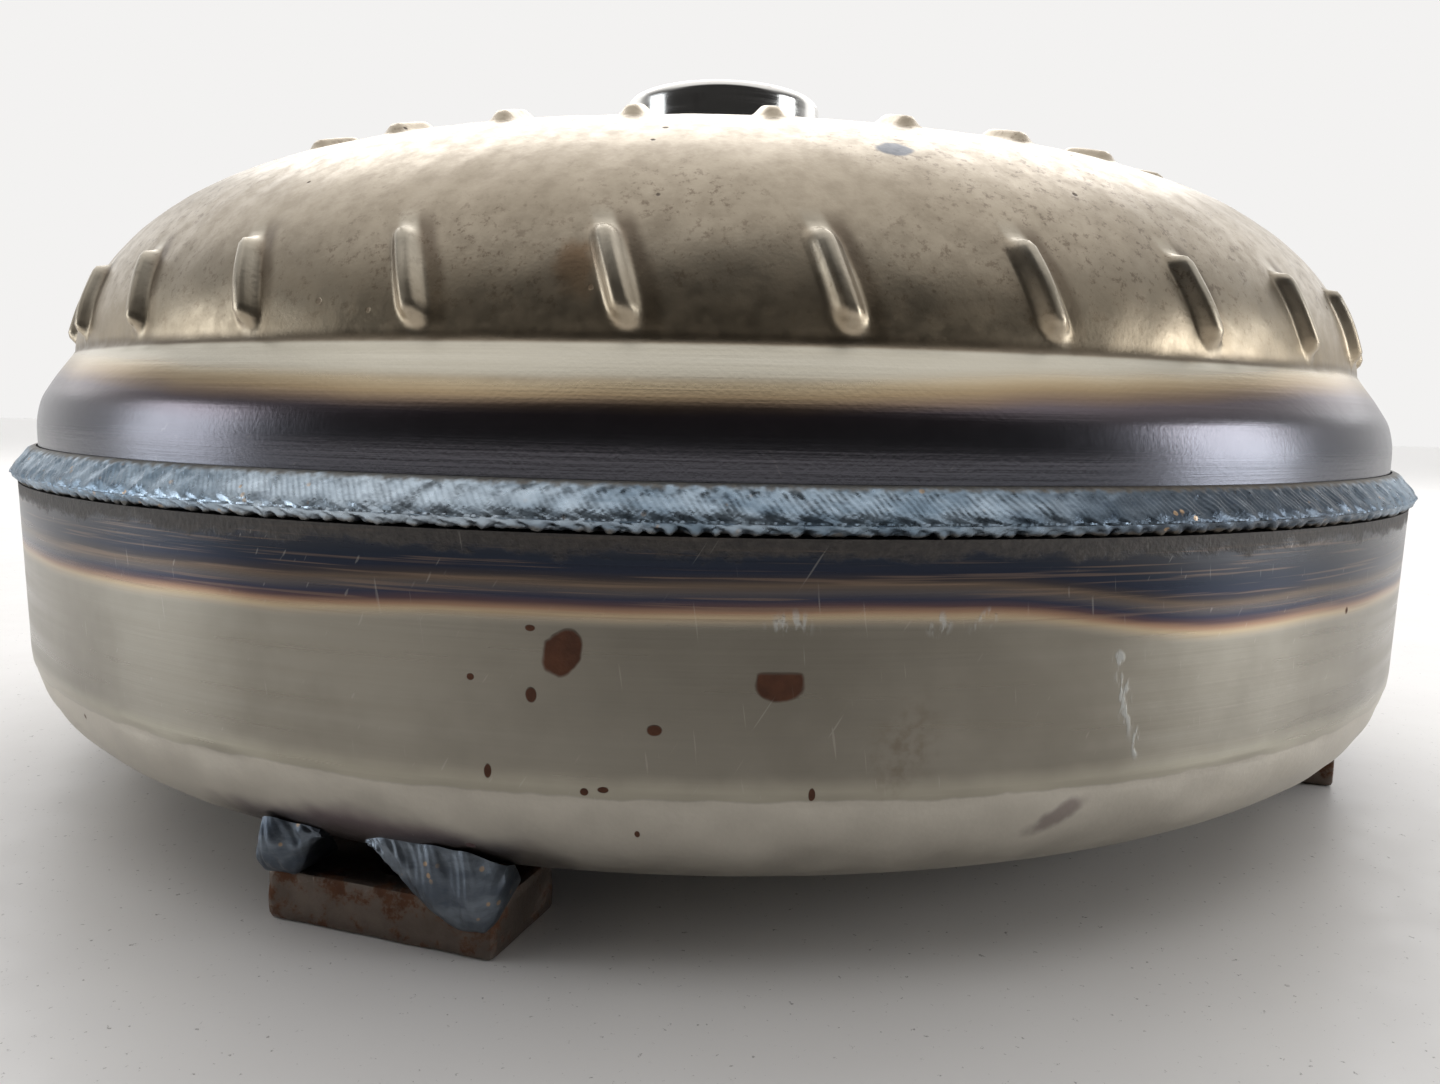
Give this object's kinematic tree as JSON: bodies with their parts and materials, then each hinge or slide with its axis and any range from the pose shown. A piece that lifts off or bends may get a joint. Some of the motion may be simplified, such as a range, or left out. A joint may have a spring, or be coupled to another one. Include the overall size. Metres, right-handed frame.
{
  "type": "torque converter",
  "caption": "Welded four-lug torque converter with lock-up clutch, sprung damper, turbine, and a stator on a one-way roller clutch, pump hub up.",
  "frame": {"origin": "on the axis, in the plane of the mounting lugs' faces, which meet the engine's flexplate", "axes": "+Z along the axis, from the engine side to the gearbox side; -Y is the side the picture shows; azimuths run from -Y towards +X"},
  "size_m": [0.3048, 0.3048, 0.1495],
  "materials": {
    "cover_steel": "pressed bare steel, warm grey, heat tinted by the weld, light rust spots",
    "impeller_steel": "pressed bare steel, warm beige grey, lightly pitted",
    "hub_steel": "ground and polished",
    "girth_weld": "rippled bead, blue grey with a little gold",
    "weld_bead": "rippled bead, grey",
    "lug_steel": "dark bare steel with rust",
    "pilot_steel": "turned",
    "blade_steel": "pressed and brazed",
    "spring_steel": "oil tempered, dark",
    "pressed_plate": "pressed, satin",
    "rivet_steel": "cold headed",
    "bearing_steel": "ground",
    "cast_aluminium": "die cast",
    "friction_lining": "resin-bonded paper",
    "polymer": "heat resistant polymer"
  },
  "bodies": {
    "housing": {"crank_pilot": "pilot_steel", "front_cover": "cover_steel", "girth_weld": "girth_weld", "hub_weld": "weld_bead", "impeller_bearing_upper_race": "bearing_steel", "impeller_blade_wheel": "blade_steel", "impeller_hub": "hub_steel", "impeller_shell": "impeller_steel", "lug_weld_1_left": "weld_bead", "lug_weld_1_right": "weld_bead", "lug_weld_2_left": "weld_bead", "lug_weld_2_right": "weld_bead", "lug_weld_3_left": "weld_bead", "lug_weld_3_right": "weld_bead", "lug_weld_4_left": "weld_bead", "lug_weld_4_right": "weld_bead", "mounting_lug_1": "lug_steel", "mounting_lug_2": "lug_steel", "mounting_lug_3": "lug_steel", "mounting_lug_4": "lug_steel"},
    "turbine": {"turbine_shell": "blade_steel", "turbine_blade_wheel": "blade_steel", "turbine_hub": "bearing_steel", "damper_driven_plate": "pressed_plate", "piston_seal_ring": "polymer", "cover_thrust_washer": "polymer", "turbine_bearing_lower_race": "bearing_steel", "turbine_rivet_1": "rivet_steel", "turbine_rivet_2": "rivet_steel", "turbine_rivet_3": "rivet_steel", "turbine_rivet_4": "rivet_steel"},
    "damper": {"damper_front_plate": "pressed_plate", "damper_rear_plate": "pressed_plate", "damper_rivet_1": "rivet_steel", "damper_rivet_2": "rivet_steel", "damper_rivet_3": "rivet_steel", "damper_spring_1": "spring_steel", "damper_spring_2": "spring_steel", "damper_spring_3": "spring_steel", "damper_spring_4": "spring_steel", "damper_spring_5": "spring_steel", "damper_spring_6": "spring_steel"},
    "piston": {"lockup_piston": "pressed_plate", "friction_lining": "friction_lining"},
    "stator": {"stator_wheel": "cast_aluminium", "clutch_outer_race": "bearing_steel", "clutch_cap_upper": "cast_aluminium", "clutch_cap_lower": "cast_aluminium", "turbine_bearing_upper_race": "bearing_steel", "impeller_bearing_lower_race": "bearing_steel"},
    "inner_race": {"clutch_inner_race": "bearing_steel"},
    "turbine_bearing_cage": {"turbine_bearing_needle_cage": "bearing_steel"},
    "impeller_bearing_cage": {"impeller_bearing_needle_cage": "bearing_steel"},
    "roller_1": {"clutch_roller_1": "bearing_steel"},
    "roller_2": {"clutch_roller_2": "bearing_steel"},
    "roller_3": {"clutch_roller_3": "bearing_steel"},
    "roller_4": {"clutch_roller_4": "bearing_steel"},
    "roller_5": {"clutch_roller_5": "bearing_steel"},
    "roller_6": {"clutch_roller_6": "bearing_steel"}
  },
  "joints": [
    {"name": "turbine_spin", "type": "hinge", "parent": "housing", "child": "turbine", "pos_m": [0, 0, 0.08], "axis": [0, 0, 1], "continuous": true},
    {"name": "damper_twist", "type": "hinge", "parent": "turbine", "child": "damper", "pos_m": [0, 0, 0.0295], "axis": [0, 0, 1], "range_deg": [-8, 8], "stiffness_Nm_per_rad": 860, "deforming": ["damper_spring_1", "damper_spring_2", "damper_spring_3", "damper_spring_4", "damper_spring_5", "damper_spring_6"]},
    {"name": "piston_slide", "type": "slide", "parent": "damper", "child": "piston", "axis": [0, 0, -1], "range_m": [0, 0.0015]},
    {"name": "stator_spin", "type": "hinge", "parent": "housing", "child": "stator", "pos_m": [0, 0, 0.079], "axis": [0, 0, 1], "continuous": true},
    {"name": "inner_race_overrun", "type": "hinge", "parent": "stator", "child": "inner_race", "pos_m": [0, 0, 0.079], "axis": [0, 0, 1], "continuous": true},
    {"name": "impeller_cage_spin", "type": "hinge", "parent": "housing", "child": "impeller_bearing_cage", "pos_m": [0, 0, 0.0966], "axis": [0, 0, 1], "continuous": true},
    {"name": "turbine_cage_spin", "type": "hinge", "parent": "turbine", "child": "turbine_bearing_cage", "pos_m": [0, 0, 0.0613], "axis": [0, 0, 1], "continuous": true},
    {"name": "roller_1_spin", "type": "hinge", "parent": "stator", "child": "roller_1", "pos_m": [0.0104, -0.02857, 0.079], "axis": [0, 0, 1], "continuous": true},
    {"name": "roller_2_spin", "type": "hinge", "parent": "stator", "child": "roller_2", "pos_m": [0.02994, -0.00528, 0.079], "axis": [0, 0, 1], "continuous": true},
    {"name": "roller_3_spin", "type": "hinge", "parent": "stator", "child": "roller_3", "pos_m": [0.01954, 0.02329, 0.079], "axis": [0, 0, 1], "continuous": true},
    {"name": "roller_4_spin", "type": "hinge", "parent": "stator", "child": "roller_4", "pos_m": [-0.0104, 0.02857, 0.079], "axis": [0, 0, 1], "continuous": true},
    {"name": "roller_5_spin", "type": "hinge", "parent": "stator", "child": "roller_5", "pos_m": [-0.02994, 0.00528, 0.079], "axis": [0, 0, 1], "continuous": true},
    {"name": "roller_6_spin", "type": "hinge", "parent": "stator", "child": "roller_6", "pos_m": [-0.01954, -0.02329, 0.079], "axis": [0, 0, 1], "continuous": true}
  ],
  "couplings": [
    {"joint": "impeller_cage_spin", "follows": "stator_spin", "ratio": 0.5},
    {"joint": "roller_1_spin", "follows": "inner_race_overrun", "ratio": -9.3793},
    {"joint": "roller_2_spin", "follows": "inner_race_overrun", "ratio": -9.3793},
    {"joint": "roller_3_spin", "follows": "inner_race_overrun", "ratio": -9.3793},
    {"joint": "roller_4_spin", "follows": "inner_race_overrun", "ratio": -9.3793},
    {"joint": "roller_5_spin", "follows": "inner_race_overrun", "ratio": -9.3793},
    {"joint": "roller_6_spin", "follows": "inner_race_overrun", "ratio": -9.3793}
  ]
}
